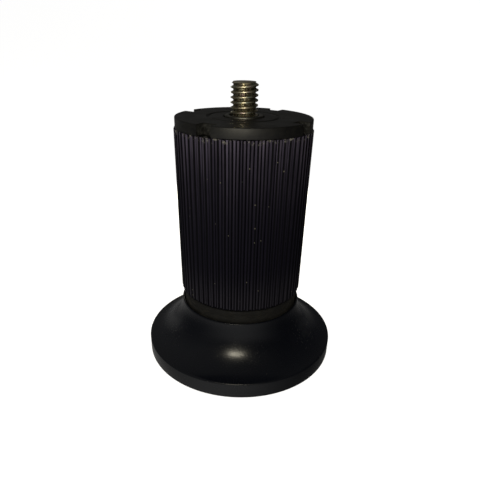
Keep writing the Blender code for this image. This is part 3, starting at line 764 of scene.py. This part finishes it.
def make_ribbed_grip():
    """The rubber sleeve. Each rib has its own small height and width, and wanders a little."""
    low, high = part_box("grip_sleeve")
    top = high.z + GAP - SNUG
    side_top = top - GRIP_TOP_EDGE_HEIGHT
    side_bottom = low.z + GRIP_CORNER
    outer = [(high.x - inwards, top - down) for inwards, down in GRIP_TOP_EDGE]
    for level in range(GRIP_LEVELS):
        share = level / GRIP_LEVELS
        outer.append(
            (
                high.x + (GRIP_BOTTOM_RADIUS - high.x) * share,
                side_top + (side_bottom - side_top) * share,
            )
        )
    corner_centre = (GRIP_BOTTOM_RADIUS - GRIP_CORNER, side_bottom)
    corner_radii = (GRIP_CORNER, GRIP_CORNER)
    outer += ellipse_arc(corner_centre, corner_radii, 0.0, -math.pi / 2, GRIP_CORNER_STEPS)
    bore = SLEEVE_SEAT + GAP
    outline = [(bore, top), *outer, (bore, low.z)]
    chance = random.Random(RIB_SEED)
    lows = [chance.uniform(0.0, RIB_LOWEST) for _ in range(RIB_COUNT)]
    shifts = [chance.uniform(-RIB_SHIFT, RIB_SHIFT) for _ in range(RIB_COUNT)]
    waves = [chance.uniform(0.0, math.tau) for _ in range(RIB_COUNT)]

    def warp(angle, radius, height):
        if radius < bore + RIB_DEPTH:
            return radius
        turn = angle / math.tau * RIB_COUNT - RIB_PHASE
        rib = round(turn) % RIB_COUNT
        wander = shifts[rib] + RIB_WANDER * math.sin(height / WANDER_LENGTH + waves[rib])
        offset = abs(turn - round(turn) + wander)
        crest = min(offset / (RIB_CREST / 2), 1.0)
        down = min(max((offset - RIB_CREST / 2) / RIB_FLANK, 0.0), 1.0)
        dip = down * down * (3 - 2 * down)
        crown = lows[rib] + RIB_CROWN * crest**3
        return radius - crown * (1 - dip) - RIB_DEPTH * dip

    return revolved("ribbed_grip", outline, RIB_COUNT * RIB_POINTS, warp)


def make_cap_body():
    """The slotted cap, with its round groove and the recess for the stud's collar."""
    low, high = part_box("top_cap")
    washer_low, washer_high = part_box("stud_washer")
    flange_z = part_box("grip_sleeve")[1].z + GAP
    plug = TUBE_BORE - GAP
    bore = THREAD_RADIUS + GAP
    recess = washer_high.x + GAP
    inner, outer, depth = GROOVE
    corners = [
        (bore, washer_low.z - GAP),
        (recess, washer_low.z - GAP, CRISP),
        (recess, high.z, RECESS_ROUND),
        (inner - GROOVE_SLOPE, high.z, SOFT),
        (inner + GROOVE_SLOPE, high.z - depth, FINE),
        (outer - GROOVE_SLOPE, high.z - depth, FINE),
        (outer + GROOVE_SLOPE, high.z, SOFT),
        (high.x, high.z, SOFT),
        (high.x, flange_z, MEDIUM),
        (plug, flange_z),
        (plug, low.z, SOFT),
        (bore, low.z),
    ]
    cap = revolved("cap_body", filleted(corners, arc_points=3), FINE_STEPS)
    cutters = []
    cutter_radius = high.x - SLOT_DEPTH + CUTTER_LENGTH / 2
    cutter_z = flange_z - OVERRUN + CUTTER_HEIGHT / 2
    for number in range(SLOT_COUNT):
        angle = SLOT_ANGLE + math.tau * number / SLOT_COUNT
        place = polar(cutter_radius, angle, cutter_z)
        cutters.append(box_cutter("slot", (SLOT_WIDTH, CUTTER_LENGTH, CUTTER_HEIGHT), place, angle))
    head_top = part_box("stud")[0].z + HEAD_HEIGHT
    cutters.append(prism("pocket", HEAD_FLATS + 2 * GAP, low.z - OVERRUN, head_top + GAP))
    combine(cap, cutters)
    flatten_top(cap, high.z)
    return cap


def make_threaded_stud():
    """An M6 bolt: chamfered end, thread with a small flat at crest and root, hexagon head."""
    low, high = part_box("stud")
    chamfer = THREAD_RADIUS - THREAD_ROOT
    corners = [
        (0.0, high.z),
        (THREAD_ROOT, high.z, SMALL),
        (THREAD_RADIUS, high.z - chamfer),
        (THREAD_RADIUS, low.z + OVERRUN),
        (0.0, low.z + OVERRUN),
    ]
    stud = revolved("threaded_stud", filleted(corners), THREAD_STEPS)
    combine(stud, [prism("head", HEAD_FLATS, low.z, low.z + HEAD_HEIGHT)], "UNION")
    turns = math.ceil((high.z - THREAD_START) / THREAD_PITCH) + 1
    combine(stud, [thread_groove(turns)])
    return stud


def thread_groove(turns):
    """A right-handed coiled wedge that cuts the thread, with a rounded root."""
    outside = THREAD_RADIUS + THREAD_CLEAR
    mouth_half = ROOT_HALF + (outside - THREAD_ROOT) * math.tan(math.pi / 6)
    out, along = ROOT_ROUND
    wedge = [
        (THREAD_ROOT, ROOT_HALF),
        (THREAD_ROOT + out, ROOT_HALF + along),
        (outside, mouth_half),
        (outside, -mouth_half),
        (THREAD_ROOT + out, -ROOT_HALF - along),
        (THREAD_ROOT, -ROOT_HALF),
    ]
    shape = bmesh.new()
    previous = None
    for step in range(turns * THREAD_STEPS + 1):
        angle = math.tau * step / THREAD_STEPS
        rise = THREAD_START + THREAD_PITCH * step / THREAD_STEPS
        ring = [shape.verts.new(polar(radius, angle, rise + z)) for radius, z in wedge]
        if previous is None:
            shape.faces.new(ring)
        else:
            for index in range(len(wedge)):
                after = (index + 1) % len(wedge)
                shape.faces.new((previous[index], previous[after], ring[after], ring[index]))
        previous = ring
    shape.faces.new(previous)
    return new_piece("thread_groove", shape)


def make_collar():
    """The small grey collar round the stud."""
    low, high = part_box("stud_washer")
    corners = [
        (WASHER_BORE, high.z, FINE),
        (high.x, high.z, WASHER_ROUND),
        (high.x, low.z, CRISP),
        (WASHER_BORE, low.z),
    ]
    return revolved("stud_collar", filleted(corners), PLAIN_STEPS)


def make_underside_pad():
    """The rubber pad under the base, with shallow grooves."""
    low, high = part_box("foot_pad")
    half = PAD_GROOVE_HALF
    groove_z = low.z + PAD_GROOVE_DEPTH
    corners = [(0.0, high.z), (high.x, high.z, MEDIUM), (high.x, low.z, BROAD)]
    for radius in PAD_GROOVES:
        corners += [(radius + half, low.z, FINE), (radius + half / 2, groove_z, FINE)]
        corners += [(radius - half / 2, groove_z, FINE), (radius - half, low.z, FINE)]
    corners.append((0.0, low.z))
    return revolved("underside_pad", filleted(corners, arc_points=3), FINE_STEPS)


def make_spring_coil():
    """The compression spring, closed at both ends."""
    low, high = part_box("spring")
    rise = high.z - low.z - 2 * SPRING_WIRE
    pitch = (rise - 2 * SPRING_END_PITCH) / SPRING_TURNS
    shape = bmesh.new()
    previous = None
    for step in range(SPRING_STEPS * (SPRING_TURNS + 2) + 1):
        turn = step / SPRING_STEPS
        height = low.z + SPRING_WIRE + SPRING_END_PITCH * min(turn, 1.0)
        height += pitch * min(max(turn - 1.0, 0.0), SPRING_TURNS)
        height += SPRING_END_PITCH * max(turn - 1.0 - SPRING_TURNS, 0.0)
        angle = math.tau * turn
        ring = []
        for side in range(SPRING_SIDES):
            around = math.tau * side / SPRING_SIDES
            radius = SPRING_RADIUS + SPRING_WIRE * math.cos(around)
            ring.append(shape.verts.new(polar(radius, angle, height + SPRING_WIRE * math.sin(around))))
        if previous is None:
            shape.faces.new(ring)
        else:
            for index in range(SPRING_SIDES):
                after = (index + 1) % SPRING_SIDES
                shape.faces.new((previous[index], previous[after], ring[after], ring[index]))
        previous = ring
    shape.faces.new(previous)
    return new_piece("spring_coil", shape)


# ---------------------------------------------------------------- stage


def make_floor():
    """A pale floor that curves up all round, far from the object, and glows by itself. It neither
    lights the object nor shows in its reflections."""
    outline = [(0.0, 0.0), (FLOOR_FLAT, 0.0)]
    outline += ellipse_arc(*FLOOR_CURVE, -math.pi / 2, FLOOR_CURVE_END, FLOOR_CURVE_STEPS)
    shape = bmesh.new()
    rings = []
    for step in range(PLAIN_STEPS):
        angle = math.tau * step / PLAIN_STEPS
        rings.append([shape.verts.new(polar(radius, angle, height)) for radius, height in outline])
    for step, ring in enumerate(rings):
        following = rings[(step + 1) % PLAIN_STEPS]
        for index in range(len(outline) - 1):
            shape.faces.new(
                (ring[index], following[index], following[index + 1], ring[index + 1])
            )
    floor = new_piece("floor", shape)
    finish = Finish("floor", specular=0.0)
    shade = finish.mix(finish.noise(80 * MM), *FLOOR_GREYS)
    finish.shader.inputs["Emission Color"].default_value = (1.0, 1.0, 1.0, 1.0)
    finish.shader.inputs["Emission Strength"].default_value = FLOOR_GLOW
    floor.data.materials.append(finish.done(shade, FLOOR_ROUGHNESS))
    floor.visible_diffuse = False
    floor.visible_glossy = False


def add_light(name, place, size, power):
    """An elliptical lamp in the key's colour, aimed at the object's middle and hidden from view."""
    lamp = bpy.data.lights.new(name, "AREA")
    lamp.shape = "ELLIPSE"
    lamp.size, lamp.size_y = size
    lamp.energy = power
    lamp.color = KEY_COLOUR
    light = bpy.data.objects.new(name, lamp)
    bpy.context.scene.collection.objects.link(light)
    light.location = place
    light.rotation_euler = (Vector(LIGHT_TARGET) - Vector(place)).to_track_quat("-Z", "Y").to_euler()
    light.visible_camera = False
    return light


def make_lights():
    """The key, a small light behind, and three fills that only matte surfaces show."""
    add_light("key", KEY_PLACE, KEY_SIZE, KEY_POWER)
    add_light("back_key", BACK_PLACE, BACK_SIZE, BACK_POWER)
    for number, angle in enumerate(SIDE_ANGLES):
        place = polar(SIDE_DISTANCE, angle, SIDE_Z)
        fill = add_light(f"fill_{number + 1}", place, SIDE_SIZE, SIDE_POWER)
        fill.visible_glossy = False


def make_room():
    """The world: soft light for matte surfaces, stronger from the left, another room for
    reflections, and a white backdrop for the camera."""
    world = bpy.data.worlds.new("room")
    bpy.context.scene.world = world
    world.use_nodes = True
    tree = world.node_tree
    room = Nodes(tree, "Generated")
    rays = tree.nodes.new("ShaderNodeLightPath")

    soft = tree.nodes["Background"]
    soft.inputs["Color"].default_value = (*ROOM_COLOUR, 1.0)
    from_left = room.between(room.axes()[0], 1.0, -1.0, *SOFT_SHARES)
    tree.links.new(room.math("MULTIPLY", from_left, ROOM_SOFT), soft.inputs["Strength"])

    seen = tree.nodes.new("ShaderNodeBackground")
    seen.inputs["Color"].default_value = (*ROOM_COLOUR, 1.0)
    tree.links.new(seen_room(room), seen.inputs["Strength"])

    backdrop = tree.nodes.new("ShaderNodeBackground")
    backdrop.inputs["Color"].default_value = (1.0, 1.0, 1.0, 1.0)

    shown = soft.outputs[0]
    for ray, background in (("Is Glossy Ray", seen), ("Is Camera Ray", backdrop)):
        mix = tree.nodes.new("ShaderNodeMixShader")
        tree.links.new(rays.outputs[ray], mix.inputs[0])
        tree.links.new(shown, mix.inputs[1])
        tree.links.new(background.outputs[0], mix.inputs[2])
        shown = mix.outputs[0]
    tree.links.new(shown, tree.nodes["World Output"].inputs["Surface"])


def seen_room(nodes):
    """How bright reflections see the room, by direction: brightest level in front, then the floor,
    a dim sky that is paler high up, a faint band at the back and a patch low behind the object.
    All but the front and the patch are brighter on the left."""
    x, y, z = nodes.axes()  # parts of a direction of length 1: right, away and up
    leftness = nodes.between(x, 1.0, -1.0, *SEEN_SHARES)

    front = nodes.math("MAXIMUM", nodes.math("MULTIPLY", y, -1.0), 0.0)
    front_glow = nodes.math("MULTIPLY", nodes.math("POWER", front, FRONT_FALL), FRONT_SEEN)
    back_glow = nodes.math("MULTIPLY", nodes.between(y, 0.34, 0.62), BACK_SEEN)
    back_glow = nodes.math("MULTIPLY", back_glow, nodes.between(z, -0.30, -0.14))
    back_glow = nodes.math("MULTIPLY", back_glow, leftness)
    band = nodes.math("ADD", front_glow, back_glow)
    band = nodes.math("MULTIPLY", band, nodes.between(z, 0.30, 0.0))

    floor = nodes.math("MULTIPLY", nodes.between(z, -0.24, -0.50), FLOOR_SEEN)
    floor = nodes.math("MULTIPLY", floor, nodes.between(x, 1.0, -0.6, *FLOOR_SHARES))
    floor = nodes.math("MULTIPLY", floor, nodes.between(y, 0.2, -0.8, *FLOOR_DEPTH_SHARES))

    behind = nodes.math("MULTIPLY", nodes.between(y, 0.70, 0.90), nodes.between(z, 0.10, -0.05))
    aside = nodes.math("ABSOLUTE", x)
    behind = nodes.math("MULTIPLY", behind, nodes.between(aside, 0.50, 0.18))
    floor = nodes.math("ADD", floor, nodes.math("MULTIPLY", behind, BEHIND_SEEN))

    sky = nodes.math("MULTIPLY", leftness, nodes.between(z, 0.0, 0.75, *SKY_SEEN))
    return nodes.math("ADD", sky, nodes.math("ADD", band, floor))


def make_camera():
    """The photo's camera: close, a little above the object and looking down."""
    data = bpy.data.cameras.new("camera")
    data.sensor_width = CAMERA_SENSOR
    data.lens = CAMERA_LENS
    data.shift_x, data.shift_y = CAMERA_SHIFT
    data.clip_start = 5 * MM
    data.clip_end = 20.0
    camera = bpy.data.objects.new("camera", data)
    bpy.context.scene.collection.objects.link(camera)
    tilt = Matrix.Rotation(math.pi / 2 - CAMERA_TILT, 4, "X")
    roll = Matrix.Rotation(CAMERA_ROLL, 4, "Z")
    camera.matrix_world = Matrix.Translation(CAMERA_PLACE) @ tilt @ roll
    bpy.context.scene.camera = camera


# ---------------------------------------------------------------- assembly

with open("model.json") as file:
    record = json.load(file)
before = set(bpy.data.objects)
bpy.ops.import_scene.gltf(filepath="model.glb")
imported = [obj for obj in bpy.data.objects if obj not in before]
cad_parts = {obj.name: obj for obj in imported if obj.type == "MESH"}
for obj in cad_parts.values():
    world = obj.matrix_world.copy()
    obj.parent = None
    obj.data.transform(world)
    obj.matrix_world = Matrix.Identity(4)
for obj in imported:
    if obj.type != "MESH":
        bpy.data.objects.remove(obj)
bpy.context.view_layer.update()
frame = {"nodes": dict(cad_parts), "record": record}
finishes = {slot: make() for slot, make in FINISH_MAKERS.items()}
slot_of = {part["node"]: part["material_slot"] for part in frame["record"]["subparts"]}
body_of = {
    node: body
    for body, members in frame["record"]["behaviour"]["bodies"].items()
    for node in members
}

STAND_INS = {
    "base_shell": make_base_body,
    "housing_tube": make_tube_body,
    "grip_sleeve": make_ribbed_grip,
    "top_cap": make_cap_body,
    "stud": make_threaded_stud,
    "stud_washer": make_collar,
    "foot_pad": make_underside_pad,
    "spring": make_spring_coil,
}

for node, make in STAND_INS.items():
    piece = make()
    piece.data.materials.clear()
    piece.data.materials.append(finishes[slot_of[node]])
    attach(piece, body_of[node])
    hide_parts(node)
    if node == "spring":
        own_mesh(piece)

for node, thing in frame["nodes"].items():
    if node not in STAND_INS:
        thing.data.materials.clear()
        thing.data.materials.append(finishes[slot_of[node]])

make_floor()
make_lights()
make_room()
make_camera()
bpy.context.scene.view_settings.view_transform = "Standard"
